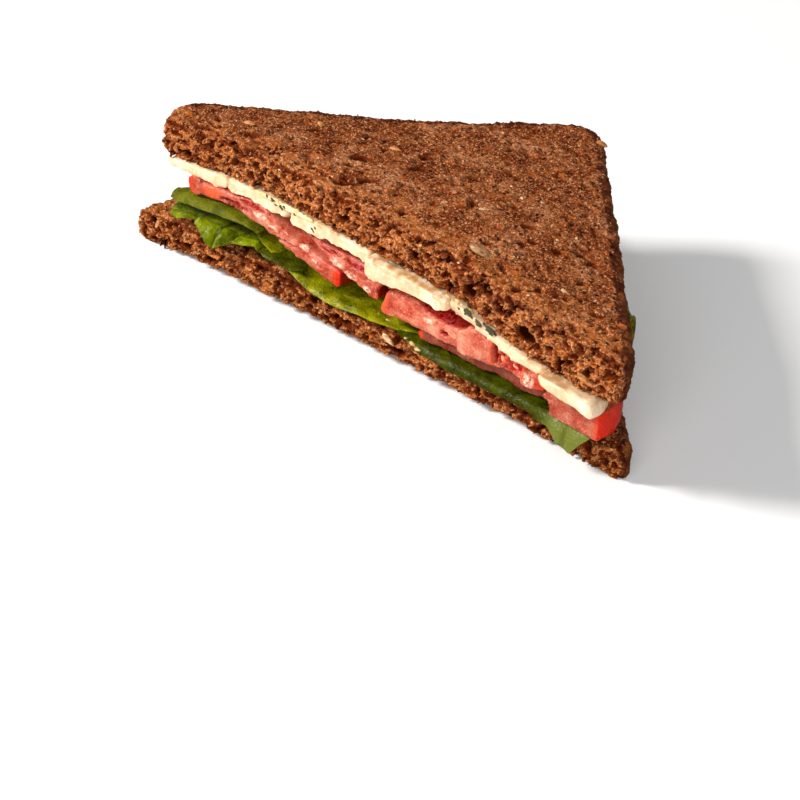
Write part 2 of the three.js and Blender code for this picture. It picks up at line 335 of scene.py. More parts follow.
def crumb_finish(name, deep, middle, light, end, reach):
    """Dark rye crumb: brown fibres and a baked crust, darker and redder down its pits and pores,
    which is painted shade.

    Towards the left it turns to the `end` colour, by the share `reach`: on the lower slice a
    lighter colour, painted light on its left end, and on the upper slice a darker one.
    """
    paint = Finish(name, specular_ior_level=0.03)
    paint.base = paint.ramp(paint.grain(9), [(0.36, deep), (0.5, middle), (0.66, light)])
    # towards the left: painted light on the lower slice, darker on the upper slice
    across = paint.components(paint.bench)[0]
    paint.lay(end, paint.levels(across, -18, -52, 0, reach))
    soft = paint.grain(2.2, detail=4, roughness=0.6)
    paint.lay(CRUMB["shaded"], paint.levels(soft, 0.46, 0.34, 0, 0.7))
    paint.lay(CRUMB["lit"], paint.levels(soft, 0.54, 0.68, 0, 0.55))
    fibre = paint.grain(0.55, detail=5, roughness=0.75)
    paint.lay(CRUMB["pale fibre"], paint.levels(fibre, 0.53, 0.63))
    paint.lay(CRUMB["dark fibre"], paint.levels(fibre, 0.47, 0.36))
    pit = paint.mark("pit")
    wall = paint.times(paint.mark("cut"), paint.levels(pit, 0.6, 0.15, 0, 0.72))
    paint.lay(CRUMB["wall"], wall)
    paint.lay(CRUMB["wall shade"], paint.times(wall, paint.levels(fibre, 0.49, 0.39)))
    paint.lay(CRUMB["wall fibre"], paint.times(wall, paint.levels(fibre, 0.53, 0.62)))
    bran = paint.components(paint.cells(1.5, output="Color"))
    paint.lay(CRUMB["dark bran"], paint.levels(bran[0], 0.88, 0.95, 0, 0.5))
    paint.lay(CRUMB["rusty bran"], paint.levels(bran[1], 0.93, 0.97, 0, 0.5))

    # pores drawn as a pattern and painted dark, as painted shade inside them; the same pattern
    # bumps the surface
    pore_shade = paint.times(
        paint.levels(paint.cells(1.3, stretch=(1.5, 1, 1)), 0.36, 0.18),
        paint.levels(paint.grain(2.4), 0.47, 0.55),
    )
    paint.lay(CRUMB["pore_shade"], paint.times(pore_shade, 0.85))
    # painted shade, darker and redder the deeper a pit is carved
    paint.lay(CRUMB["pit side shade"], paint.levels(pit, 0.2, 0.9, 0, 0.85))
    paint.lay(CRUMB["pit floor shade"], paint.levels(pit, 0.8, 1.8, 0, 0.97))

    crust = paint.mark("crust")
    char = paint.grain(3.2, detail=5, roughness=0.6)
    charred = paint.levels(char, 0.62, 0.46, 0.2, 0.9)
    paint.lay(CRUMB["crust edge"], paint.times(paint.levels(crust, 0.12, 0.42), charred))
    paint.lay(paint.ramp(char, CRUST), paint.levels(crust, 0.6, 0.85, 0, 0.9))

    fine = paint.bump(fibre, 0.6, 0.9)
    holed = paint.bump(paint.maths("SUBTRACT", 1.0, pore_shade), 0.9, 0.9, fine)
    return paint.finished(
        roughness=paint.levels(fibre, 0.42, 0.66, 0.85, 0.3),
        normal=paint.bump(paint.grain(1.0), 0.7, 0.9, holed),
    )


def cheese_finish():
    """Fresh mozzarella: creamy white, milky at its edges, browner under the bread, which is partly
    painted shadow of the bread and partly stain.
    """
    paint = Finish(
        "mozzarella",
        specular_ior_level=0.45,
        subsurface_weight=0.35,
        subsurface_radius=(1, 0.75, 0.45),
        subsurface_scale=2.2 * MM,
        coat_weight=0.12,
        coat_roughness=0.3,
    )
    paint.base = paint.ramp(paint.grain(5, detail=4), MOZZARELLA)
    curd = paint.grain(0.9, detail=4, roughness=0.6)
    paint.lay(CURD, paint.levels(curd, 0.52, 0.72, 0, 0.6))
    paint.lay(CHEESE_SHADE, paint.levels(curd, 0.44, 0.28, 0, 0.5))
    # browner along the top under the bread: painted shadow, partly stain
    paint.lay(BREAD_SHADOW_AND_STAIN, paint.levels(paint.mark("shadow_and_stain"), 0.1, 1.0))
    fine = paint.bump(paint.grain(0.45, detail=4, roughness=0.6), 0.16, 0.6)
    return paint.finished(
        roughness=paint.levels(paint.grain(2.5), 0.35, 0.65, 0.3, 0.55),
        normal=paint.bump(paint.grain(2.2), 0.5, 0.5, fine),
    )


def tomato_finish(name, centre, radius, dull=0.0):
    """A tomato slice: red skin at its rim, then flesh, then the paler core."""
    paint = Finish(
        name,
        specular_ior_level=0.4,
        subsurface_weight=0.1,
        subsurface_radius=(1, 0.25, 0.15),
        subsurface_scale=1.2 * MM,
    )
    middle = paint.placed(centre=(*centre, 0), stretch=(radius, radius, 1000))
    reach = paint.node("ShaderNodeVectorMath", {0: middle}, operation="LENGTH").outputs["Value"]
    wander = paint.levels(paint.grain(4, detail=4), 0, 1, -0.06, 0.06)
    reach = paint.maths("ADD", reach, wander)

    broad = paint.grain(5)
    paint.base = paint.ramp(broad, TOMATO_FLESH)
    paint.lay(paint.ramp(broad, TOMATO_CORE), paint.levels(reach, 0.62, 0.4))
    streak = paint.grain(2.2, detail=4, roughness=0.6, distortion=0.6, stretch=(2.6, 1, 0.8))
    paint.lay(TOMATO["pale streak"], paint.levels(streak, 0.53, 0.68, 0, 0.4))
    paint.lay(TOMATO["red streak"], paint.levels(streak, 0.46, 0.34, 0, 0.35))
    frost = paint.grain(0.42, detail=4, roughness=0.7)
    paint.lay(TOMATO["frost"], paint.levels(frost, 0.52, 0.66, 0, 0.5))
    paint.lay(TOMATO["frost shade"], paint.levels(frost, 0.48, 0.34, 0, 0.5))
    paint.lay(TOMATO["dull"], dull)
    paint.lay(TOMATO["under skin"], paint.levels(reach, 0.86, 0.94, 0, 0.7))
    paint.lay(TOMATO["skin"], paint.levels(reach, 0.93, 0.985))
    # the end mark lays painted shade on the sides that face right
    for mark in ("rind", "end", "pulp_and_shade"):
        paint.lay(TOMATO[mark], paint.mark(mark))
    paint.lay(TOMATO["pip"], paint.times(paint.mark("pip"), 0.7))
    milky = paint.levels(paint.grain(0.8, detail=4, roughness=0.65), 0.4, 0.6)
    paint.lay(TOMATO["curd"], paint.times(paint.mark("curd"), milky))
    fine = paint.bump(frost, 0.2, 0.8)
    return paint.finished(
        roughness=paint.levels(paint.grain(1.6), 0.35, 0.65, 0.16, 0.34),
        normal=paint.bump(streak, 0.4, 0.6, fine),
    )


def leaf_finish(name, deep, light, vein, gloss):
    """A spinach leaf: veins follow its own length and breadth."""
    paint = Finish(name, specular_ior_level=gloss)
    length, breadth, _ = paint.components(paint.node("ShaderNodeUVMap", {}).outputs[0])
    aside = paint.maths("ABSOLUTE", paint.maths("SUBTRACT", breadth, 0.5))
    slant = paint.maths("SUBTRACT", paint.times(length, 9), paint.times(aside, 7))
    ribs = paint.maths("ABSOLUTE", paint.maths("SINE", paint.times(slant, math.pi)))
    rib = paint.levels(ribs, 0.16, 0.0)
    midrib = paint.levels(aside, 0.035, 0.0)
    veins = paint.maths("MAXIMUM", paint.times(rib, 0.6), midrib)
    mottle = paint.grain(4, detail=5, roughness=0.6)
    paint.base = paint.ramp(mottle, [(0.34, deep), (0.66, light)])
    net = paint.levels(paint.cells(1.3, "DISTANCE_TO_EDGE"), 0.12, 0.0, 0, 0.35)
    paint.lay(light, net)
    paint.lay(LEAF_TIP, paint.times(paint.mark("tip"), 0.75))
    paint.lay(vein, paint.times(veins, 0.7))
    # painted shade in the leaf's creases, where its folds lie low
    paint.lay(LEAF_CREASE_SHADE, paint.levels(paint.mark("crease_shade"), 0.1, 1, 0, 0.75))
    raised = paint.bump(paint.maths("MAXIMUM", veins, net), 0.2, 0.8)
    return paint.finished(
        roughness=paint.levels(paint.grain(2.4), 0.35, 0.65, 0.16, 0.3),
        normal=paint.bump(paint.grain(1.6, detail=4, roughness=0.6), 0.55, 0.8, raised),
    )


def seed_finish(name, light, dark, wavelength, rough_from=0.45):
    """A seed, flake or dried bit, streaked along its length."""
    paint = Finish(name, specular_ior_level=0.5, subsurface_weight=0.1, subsurface_scale=0.5 * MM)
    streak = paint.grain(wavelength, detail=4, stretch=(3, 1, 1))
    paint.base = paint.ramp(streak, [(0.36, dark), (0.62, light)])
    return paint.finished(
        roughness=paint.levels(streak, 0.3, 0.7, rough_from, rough_from + 0.2),
        normal=paint.bump(streak, 0.15, 0.6),
    )


# ---------------------------------------------------------------- bread

CRUMB_BLANK = 0.885  # size of the bread's quads before they are halved
UNDERSIDE, CUT_SIDE = -0.6, -0.5  # turn of the faces that lie below and on the cut
LONGEST_PIT = {"cut": 2.6, "top": 2.0}
TOP_PIT_DEPTH = 2.0
CRUST_DEPTH = 3.1
CRUMB_START = 1.5  # bubbles open only as far from the crust as this
BRINK, BRINK_WANDER = 8, 9  # how far from the cut the top is torn open
BENDS, BEND = 0.9, 0.3  # wavelength and size of the bends in the bubbles' walls
BEND_MARGIN = 0.4
THINNEST_WALL = 0.12  # bubbles that lie closer open into each other
BUBBLES = [  # zone, number, smallest and largest size, stretch, and depth in sizes
    ("cut", 3700, 0.27, 1.15, (1, 1.6), (-0.3, 1.1)),
    ("rim", 600, 0.26, 0.95, (1, 1.6), (-0.4, 0.8)),
    ("brink", 300, 0.36, 1.1, (1, 1.5), (-0.4, 0.8)),
    ("top", 2600, 0.34, 1.2, (1, 2.0), (-0.6, 0.4)),
]


def bubbles(rng, places, outward, zone, count, smallest, largest, stretch, lift):
    """Gas bubbles of the crumb that open through one zone of the surface."""
    found = []
    for _ in range(count):
        at = rng.choice(zone)
        size = min(smallest / (1 - rng.random()) ** 0.42, largest)
        long = rng.uniform(*stretch)
        radii = (size * long, size / math.sqrt(long), size / math.sqrt(long) * 0.9)
        centre = places[at] - outward[at] * size * rng.uniform(*lift)
        found.append((centre, radii, rng.gauss(0, 0.5)))
    return found


def opened(places, outward, holes, most):
    """How deep the surface sinks at each place where it meets the holes."""
    tree = KDTree(len(places))
    for i, place in enumerate(places):
        tree.insert(place, i)
    tree.balance()
    depth = np.zeros(len(places))
    bends = np.array([noise.noise_vector(Vector(place) / BENDS) for place in places])
    bent = places + bends * BEND
    for centre, radii, turn in holes:
        near = [found[1] for found in tree.find_range(centre, max(radii) + BEND_MARGIN)]
        if not near:
            continue
        near = np.array(near)
        cos, sin = math.cos(turn), math.sin(turn)
        axes = np.array([[cos, sin, 0], [-sin, cos, 0], [0, 0, 1]]) / np.array(radii)[:, None]
        start = (bent[near] - centre) @ axes.T
        way = outward[near] @ axes.T
        way_length = (way * way).sum(1)
        toward = (start * way).sum(1)
        inside = toward ** 2 - way_length * ((start * start).sum(1) - 1)
        root = np.sqrt(np.maximum(inside, 0))
        enters, leaves = (toward - root) / way_length, (toward + root) / way_length
        hit = (inside > 0) & (enters < depth[near] + THINNEST_WALL) & (leaves > depth[near])
        depth[near[hit]] = leaves[hit]
    return np.minimum(depth, most)


def bread_slice(name, node, finish, seed, cut_holes, top_pits):
    """A slice with open crumb on its top and its cut, and a closed crust round its edge."""
    rng = random.Random(seed)
    bm = evened(shape_of(node), CRUMB_BLANK)
    refine(bm, lambda face: face.normal.z > UNDERSIDE or face.normal.y < CUT_SIDE)
    refine(bm, lambda face: face.normal.y < CUT_SIDE)
    places, outward = stocked(bm)

    cut = np.clip((-outward[:, 1] - 0.25) / 0.5, 0, 1)
    side = (outward[:, 1] > 0.25) & (np.abs(outward[:, 2]) < 0.75)
    crust_tree = KDTree(int(side.sum()))
    for i in np.flatnonzero(side):
        crust_tree.insert(places[i], i)
    crust_tree.balance()
    inward = np.array([crust_tree.find(place)[2] for place in places])
    ragged = rough(places, 3, shift=seed)
    crust = np.clip(1 - (inward + 0.7 * ragged) / CRUST_DEPTH, 0, 1)

    surface = np.arange(len(places))
    facing_up = outward[:, 2] > 0.5
    near_cut = places[:, 1] < BRINK + BRINK_WANDER * ragged
    zones = {
        "cut": surface[cut > 0.5],
        "rim": surface[(outward[:, 2] > 0.2) & (cut > 0.15)],
        "brink": surface[facing_up & near_cut & (inward > CRUMB_START)],
        "top": surface[facing_up & (inward > CRUMB_START)],
    }
    holes = []
    for zone, *shape in BUBBLES:
        holes += bubbles(rng, places, outward, zones[zone], *shape)
    holes += [(Vector(centre), radii, 0) for centre, radii in cut_holes]
    for x, y, length, breadth, turn in top_pits:
        under = min(zones["top"], key=lambda i: math.hypot(places[i, 0] - x, places[i, 1] - y))
        centre = Vector((x, y, places[under, 2]))
        holes.append((centre, (length, breadth, TOP_PIT_DEPTH), turn))
    most = LONGEST_PIT["top"] + (LONGEST_PIT["cut"] - LONGEST_PIT["top"]) * cut
    depth = opened(places, outward, holes, most) * np.clip(1.15 - crust, 0.15, 1)

    lumps = rough(places, 11, shift=seed)
    grit = rough(places, 1.5, shift=seed)
    tufts = np.maximum(rough(places, 0.7, shift=seed + 5), 0) * (depth < 0.15)
    swell = 0.3 * lumps + (0.3 - 0.08 * cut) * grit + (0.3 + 0.15 * cut) * tufts
    swell += 0.2 * cut * rough(places, 0.5, 3, seed + 12)
    swell += (0.5 * crust - 0.1) * rough(places, 5, shift=seed + 9)
    put_back(bm, places + outward * (swell - depth)[:, None])
    marks = {"pit": depth, "crust": crust, "cut": cut + 0.6 * (facing_up & near_cut) * (1 - cut)}
    return piece(name, bm, finish, [node], marks)


top_crumb = crumb_finish("rye_crumb_top", "743212", "904c24", "aa6a44", "6e300e", 0.55)
# the lower crumb's darker tones are painted shade from the filling above; its lighter left end is
# painted light
low_crumb = crumb_finish("rye_crumb_low", "64300f", "703815", "7c4420", "a4602f", 0.55)

UPPER_CUT_HOLES = [  # centre and half sizes
    ((17.3, 0.3, 32.6), (1.7, 3, 1.5)),
    ((-49, 0.5, 31.6), (1.3, 2, 1.1)),
    ((39.7, 0.4, 33.4), (2.2, 2.4, 1.6)),
    ((51.8, 0.6, 27.6), (2.9, 2.6, 2.0)),
    ((34.5, 0.3, 31), (1.9, 2.2, 1.6)),
    ((44.5, 0.3, 30.4), (1.5, 2.2, 1.2)),
    ((47.6, 0.3, 32.4), (1.3, 2.2, 1.1)),
    ((62, 0.4, 25), (1.0, 2.2, 2.2)),
    ((29, 0.4, 30), (1.4, 1.8, 1.2)),
    ((-28, 0.3, 33.4), (1.4, 2, 1.1)),
    ((-6, 0.3, 32.2), (1.2, 2, 1.2)),
]
UPPER_TOP_PITS = [  # x, y, half length, half breadth and turn
    (-58.7, 3.6, 2.3, 1.3, 0.3),
    (-46.4, 8, 3.0, 1.4, 0.4),
    (-37.6, 21.5, 1.7, 1.2, 0.8),
    (-28.3, 19.9, 3.4, 1.0, 0.8),
    (-26, 30, 2.6, 1.2, 0.5),
    (-18.9, 26.4, 1.0, 1.1, 0.8),
    (-18.2, 18.1, 3.1, 2.3, 0.8),
    (-10.2, 6.3, 3.5, 1.4, 0.8),
    (-8.5, 11, 2.5, 1.9, 0.7),
    (-10.2, 31.4, 1.7, 1.3, 0.7),
    (-6, 24.8, 2.6, 1.6, 0.8),
    (7.9, 6, 1.4, 1.5, 0),
    (6, 32, 2.2, 1.2, 0.6),
    (30, 24, 2.0, 1.2, 0.4),
]
LOWER_CUT_HOLES = [
    ((-69.5, -3.8, 6.4), (2.2, 2.2, 1.6)),
    ((-58, -2.8, 4), (2.4, 1.6, 1.3)),
    ((-5, 0.5, 5), (2.4, 1.8, 1.2)),
    ((12, 1.6, 4.4), (3.0, 1.8, 1.1)),
]

upper_slice = bread_slice(
    "bread_slice_upper", "bread_top", top_crumb, 3, UPPER_CUT_HOLES, UPPER_TOP_PITS
)
lower_slice = bread_slice(
    "bread_slice_lower", "bread_bottom", low_crumb, 8, LOWER_CUT_HOLES, []
)

# ---------------------------------------------------------------- mozzarella

FILLING_BLANK = 0.9  # size of a filling's quads before they are halved
CHEESE_FRONT, TOMATO_FRONT = 7, 9  # the quads are halved up to this Y
HEM_TUCK, HEM_DEPTH = 0.75, 4  # share and reach of the cheese's gathered lower edge
CROWN_DEPTH = 3.2

cheese_look = cheese_finish()


def filling_blank(node, front):
    """A filling's solid in even quads, finer towards the cut and finest on it."""
    bm = evened(shape_of(node), FILLING_BLANK)
    refine(bm, lambda face: face.calc_center_median().y < front)
    refine(bm, lambda face: face.normal.y < -0.4 and face.calc_center_median().y < front)
    return bm


def cheese(name, node, seed, tear, brown, hang, spread_out, hem=(), crown=0, slant=0):
    """A strip torn at its edges: it hangs in lobes below, and swells at both its ends.

    `tear` is how ragged it is and `brown` how far down from its top the brown under the bread
    reaches, painted shadow of the bread and partly stain. `hem` is how high its lower edge lies on
    the cut, at stations of (x, height); `crown` is how far its upper edge is squeezed up over the
    bread, and `slant` how far the top of its right end lies back from the foot.
    """
    bm = filling_blank(node, CHEESE_FRONT)
    places, outward = stocked(bm)
    front = np.clip(-outward[:, 1], 0, 1)
    torn = rough(places, 1.6, 4, seed + 3)
    below = np.clip(-outward[:, 2], 0, 1)
    lobes = np.maximum(rough(places, 4, 3, seed + 6), 0)
    moved = 0.35 * rough(places, 6, 2, seed) + tear * (0.3 + 0.7 * front) * torn
    moved += hang * below * lobes + spread_out * np.abs(outward[:, 0])
    top = places[:, 2].max()
    # browner near its top: painted shadow of the bread, partly stain
    shadow_and_stain = np.clip(1 - (top - places[:, 2]) / brown, 0, 1) * np.clip(0.6 + 0.9 * torn, 0, 1)
    places = places + outward * moved[:, None]
    if hem:
        below_hem = np.array([along(hem, x) for x in places[:, 0]]) - places[:, 2]
        places[:, 2] += HEM_TUCK * np.maximum(below_hem, 0) * (places[:, 1] < HEM_DEPTH)
    last = np.clip((places[:, 0] - places[:, 0].max() + 4) / 3, 0, 1)
    places[:, 0] -= slant * last * np.clip((places[:, 2] - top + 5) / 5, 0, 1)
    upper = np.clip((places[:, 2] - top + CROWN_DEPTH) / 2, 0, 1) * front
    places += np.outer(upper * crown, (0, -0.9, 1))
    put_back(bm, places)
    return piece(name, bm, cheese_look, [node], {"shadow_and_stain": shadow_and_stain})


CHEESES = [  # number, seed, tear, brown, hang, spread_out, hem, crown and slant
    (1, 11, 0.2, 1.4, 0.6, 0),
    (2, 12, 0.18, 1.2, 0.8, 0.2),
    (3, 13, 0.18, 1.2, 0.8, 0.2),
    (4, 14, 0.16, 2.4, 0, 0.5, [
        (11, 20), (12, 22.6), (15, 23.9), (21, 24.6), (25.6, 24.9), (27.4, 24.1), (29, 24.7),
        (31, 24.8),
    ]),
    (5, 15, 0.16, 1.0, 0.3, 0.9, (), 0.8),
    (6, 16, 0.08, 0.7, 0, 0, (), 0, 1.8),
]
strips = [
    cheese(f"mozzarella_strip_{number}", f"mozzarella_{number}", *shape)
    for number, *shape in CHEESES
]

# ---------------------------------------------------------------- tomato


DEEPEST_HOLLOW = 6
PIP_SPACING, PIP_EDGE = 1.7, 0.6
JELLY_SINK = 0.5


def hollowed(places, outward, hollows):
    """How deep each place sinks where ellipsoid hollows are carved."""
    holes = [(Vector(centre), radii, 0) for centre, radii in hollows]
    return opened(places, outward, holes, DEEPEST_HOLLOW)


def mounded(places, mounds):
    """How near each place lies to the middle of a mound, 0 outside them all."""
    share = np.zeros(len(places))
    for centre, radii in mounds:
        away = (((places - centre) / radii) ** 2).sum(1)
        share = np.maximum(share, np.clip(1 - away, 0, 1))
    return share


def pips(places, zones):
    """Seeds packed in jelly: the zones' share at each place, and the bumps of the seeds."""
    share = np.clip(4 * mounded(places, zones), 0, 1)
    bumps = np.zeros(len(places))
    for i in np.flatnonzero(share):
        away = noise.voronoi(Vector(places[i]) / PIP_SPACING)[0][0]
        bumps[i] = share[i] * max(0, 1 - (away / PIP_EDGE) ** 2)
    return share, bumps


def tomato(name, node, finish, seed, cut=(0, 0), hollows=(), flaps=(), curds=(), jelly=(),
           rims=(), lean=0, rise=0):
    """A slice with juicy hollows, flaps of flesh that stand out, and milky curds on it.

    `cut` is where its cut face lies, as its Y over the pivot and its turn in degrees; the
    hollows, curds and jelly are placed from that face. `flaps` are (left, right, how far
    out), `rims` are orange bands across the face, as (x, half width), `lean` is how far its
    left end slants back over its height, and `rise` how far its top is pushed up.
    """

    def on_face(spots):
        cut_y, turn = cut
        slope = math.tan(math.radians(turn))
        return [((x, y + cut_y + slope * (x - LOWER_PIVOT_X), z), r) for (x, y, z), r in spots]

    bm = filling_blank(node, TOMATO_FRONT)
    places, outward = stocked(bm)
    hollows, curds, jelly = on_face(hollows), on_face(curds), on_face(jelly)
    sunk = hollowed(places, outward, hollows)
    front = np.clip(-1.5 * outward[:, 1], 0, 1) * (sunk < 0.2)
    across = places[:, 0]
    proud = np.zeros(len(places))
    for left, right, out in flaps:
        fade = np.sqrt(np.clip((right - across) / (right - left), 0, 1))
        proud = np.maximum(proud, out * np.clip((across - left) / 0.6, 0, 1) * fade)
    rind = np.zeros(len(places))
    for middle, half in rims:
        rind = np.maximum(rind, np.clip(1.4 - np.abs(across - middle) / half, 0, 1))
    milky = mounded(places, curds)
    wet, bumps = pips(places, jelly)
    soft = 0.32 * rough(places, 4.5, 3, seed) + 0.1 * rough(places, 1.1, 3, seed + 2)
    lumpy = 0.45 * np.sqrt(milky) * (0.7 + 0.6 * rough(places, 1.2, 3, seed + 4))
    places = places + outward * (soft + lumpy + bumps - sunk - JELLY_SINK * wet)[:, None]
    places[:, 1] -= proud * front
    low, high = places[:, 2].min(), places[:, 2].max()
    height = (places[:, 2] - low) / (high - low)
    places[:, 0] += lean * height * np.clip((across.min() + 6 - across) / 5, 0, 1)
    places[:, 2] += rise * height
    put_back(bm, places)
    marks = {
        # darker in carved hollows, which is painted shade, and in the jelly, which is its own
        # colour
        "pulp_and_shade": np.clip(np.maximum(sunk, wet), 0, 1),
        "pip": bumps,
        "rind": rind * front,
        # painted shade on the sides that face right
        "end": np.clip(3 * outward[:, 0] - 1.6, 0, 1) * (across < 60),
        "curd": np.clip(1.2 * milky, 0, 0.85),
    }
    return piece(name, bm, finish, [node], marks)


left_slice = tomato(
    "tomato_slice_left", "tomato_1", tomato_finish("tomato_left", (-33, 6), 27.4, 0.12), 21,
    cut=(0.2, 1.5),
    hollows=[
        ((-42.5, 0.2, 21.2), (5.2, 1.2, 1.1)),
        ((-21.5, 0, 22.2), (5.5, 2.2, 1.1)),
        ((-26, 0, 18.4), (7, 0.8, 0.5)),
        ((-36, 0, 23.4), (5, 1.6, 0.8)),
    ],
    curds=[
        ((-33, 0, 22), (2.8, 1.5, 1.0)),
        ((-28.5, 0, 21), (2.2, 1.5, 0.9)),
        ((-17.8, 0, 19.6), (2.2, 1.5, 1.0)),
        ((-14, 0, 17.6), (1.6, 1.2, 0.6)),
    ],
    rims=[(-50.2, 3)],
)
tomato(
    "tomato_slice_low", "tomato_2", tomato_finish("tomato_low", (38, 2), 20.5, 0.72), 22,
    cut=(0.6, 3.4),
    rise=1.0,
)
long_slice = tomato(
    "tomato_slice_long", "tomato_3", tomato_finish("tomato_long", (32, 8), 26.5), 23,
    cut=(0, 2.2),
    hollows=[
        ((26.5, 0.2, 22.6), (8.4, 4, 4.1)),
        ((27.2, 0, 16.3), (1.3, 1.8, 0.7)),
        ((42.3, 0, 18.4), (0.9, 2.6, 3.4)),
        ((46.4, -0.6, 13.6), (4.8, 2.4, 1.6)),
    ],
    flaps=[(31.4, 42, 1.2), (50.6, 60, 1.5)],
    curds=[((22.4, 0, 17.4), (1.8, 1.2, 0.8)), ((53, 0, 16.4), (1.9, 1.6, 2.2))],
    jelly=[((46.4, 0, 18), (4.6, 2.4, 2.6))],
    rims=[(7.6, 1.3), (31.6, 0.5), (41.4, 0.7), (50.9, 0.9)],
    lean=3,
)
end_slice = tomato(
    "tomato_end_slice", "tomato_4", tomato_finish("tomato_end", (60.4, 4.5), 13.4, 0.3), 24,
    cut=(1.6, 0),
)
back_slice = tomato(
    "tomato_slice_back", "tomato_5", tomato_finish("tomato_back", (-3, 20), 31, 0.12), 25,
    cut=(0.4, 1),
    hollows=[
        ((0.5, 0, 15.6), (2.8, 2.4, 1.4)),
        ((-9.5, 0, 22.4), (4.5, 1.6, 1.0)),
        ((-1, 0, 22), (4.5, 1.8, 1.2)),
    ],
    curds=[
        ((-7, 0, 20), (2.8, 1.5, 1.3)),
        ((-2.5, 0, 18.6), (2.4, 1.5, 1.1)),
        ((3.4, 0, 17.6), (1.8, 1.2, 0.8)),
    ],
)

# ---------------------------------------------------------------- spinach

LEAF_ALONG, LEAF_ACROSS = 110, 56  # points of a leaf's grid
LEAF_THICK = 0.4
LEAF_BEND = 2  # radius over the cut's edge, unless the leaf has its own
LEAF_LOWEST = 0.4
UNCREASED = 0.6  # a fold lower than this gets painted shade in its crease, unless the leaf has its own
FRONT_CROWDING = 1.7  # crowds the grid's points towards the cut
TAPER = 0.45  # how bluntly a leaf narrows to its stem and its tip

# Every leaf runs from its stem to its tip, so far to the front and so far back of that
# line. It lies at a level, with a ripple of so many waves, and turns down over an edge by so
# many degrees. Its fringe is extra width in front, its folds stand out of it, and pale is
# where its tip begins to lose its green. A measure that changes along the cut is given as
# stations of (x, value) or as a rule of x.
LEAVES = [
    dict(name="spinach_folded", node="spinach_1", stem=(-64, -2.4), tip=(-33, -0.5),
         front=1.7, back=10, ripple=0.15, waves=2, edge=-0.4, turn=55, pleat=0.2, look="back",
         level=[(-64, 16.9), (-56, 17.9), (-46, 19.1), (-38, 18.8), (-33, 17.7)]),
    dict(name="spinach_crumpled", node="spinach_2", stem=(-63.2, -2.6), tip=(-20, 5),
         front=4.6, back=12, ripple=0.4, waves=3.5, edge=-1.2, turn=58, pleat=0.3,
         look="bright", level=[(-64, 13), (-50, 13.6), (-36, 13.2), (-22, 11.7)],
         fringe=[(-60, -1), (-54, -2.2), (-46, 3), (-40, 0), (-33, -0.2), (-27, 1.6)],
         folds=[(-62, 0.6), (-57.5, 1.8), (-53.6, 0), (-51.8, 2.3), (-47.6, 1.4),
                (-45.8, -0.4), (-43.6, 1.8), (-40.4, -0.2), (-38.6, 1.7), (-33.8, 1.4),
                (-32.6, -0.4), (-30, 1.5), (-26, 0.2), (-20, 0.8)]),
    dict(name="spinach_long", node="spinach_3", stem=(-39, 5), tip=(20.4, 9.5),
         front=9.4, back=12, ripple=0.25, waves=4, edge=lambda x: lower_face(x) - 0.1,
         turn=62, pleat=0.5, look="deep",
         level=[(-38, 15.6), (-22, 13.7), (-13, 11.3), (10, 10.4), (19, 9.8)]),
    dict(name="spinach_rolled", node="spinach_4", stem=(25.2, 0.6), tip=(72.5, 6),
         front=4.2, back=9, ripple=0.05, waves=3, edge=lambda x: lower_face(x) - 1.1,
         turn=[(50, 165), (58, 76)], pleat=0.35, look="glossy", bend=1.1, flat=0,
         level=lambda x: lower_top(x) + lerp(0.6, 1.05, smoothstep(x, 25, 31)),
         fringe=lambda x: along([(25, -2), (32, 0)], x) + 7.2 * max(0, 1 - abs(x - 65.6) / 7),
         folds=[(50, 0), (60, 0.8), (63.6, 1.5), (64.4, 0.7), (67, 1)], pale=(57, 61)),
    dict(name="spinach_link", stem=(11, 3.4), tip=(29, 1.8), front=2.7, back=3, ripple=0.15,
         waves=2, edge=lambda x: lower_face(x) - 0.4, turn=50, pleat=0.3, look="glossy",
         bend=1, level=lambda x: lower_top(x) + 0.9),
    dict(name="spinach_lobe", stem=(-31, -1.7), tip=(-17.5, 0), front=2.4, back=4, ripple=0.2,
         waves=1.5, edge=-1.9, turn=66, pleat=0.3, look="glossy",
         level=[(-31, 14.2), (-24, 14.4), (-18, 13.6)]),
    dict(name="spinach_right", node="spinach_5", stem=(19, 51), tip=(53, 24), front=4,
         back=12.6, level=12, ripple=1.4, waves=3, edge=-20, turn=0, pleat=0.4, look="deep"),
    dict(name="spinach_left", node="spinach_6", stem=(-60, 15), tip=(-17, 51), front=8,
         back=8, level=12.6, ripple=2, waves=3.5, edge=-20, turn=0, pleat=0.4, look="bright"),
    dict(name="spinach_corner", node="spinach_7", stem=(-15, 58), tip=(18, 56), front=7,
         back=15, level=11.8, ripple=1.2, waves=2.5, edge=-20, turn=0, pleat=0.4, look="deep"),
]

LEAF_LOOKS = {
    "back": leaf_finish("spinach_back", "404208", "686a12", "888c34", 0.04),
    "bright": leaf_finish("spinach_bright", "343e02", "788206", "a4a82c", 0.15),
    "deep": leaf_finish("spinach_deep", "363e02", "8e8c08", "b8b03a", 0.18),
    "glossy": leaf_finish("spinach_glossy", "1c2000", "444a02", "5c6210", 0.1),
}


def measure(rule, x):
    """A leaf's measure at x."""
    if callable(rule):
        return rule(x)
    return along(rule, x) if isinstance(rule, list) else rule


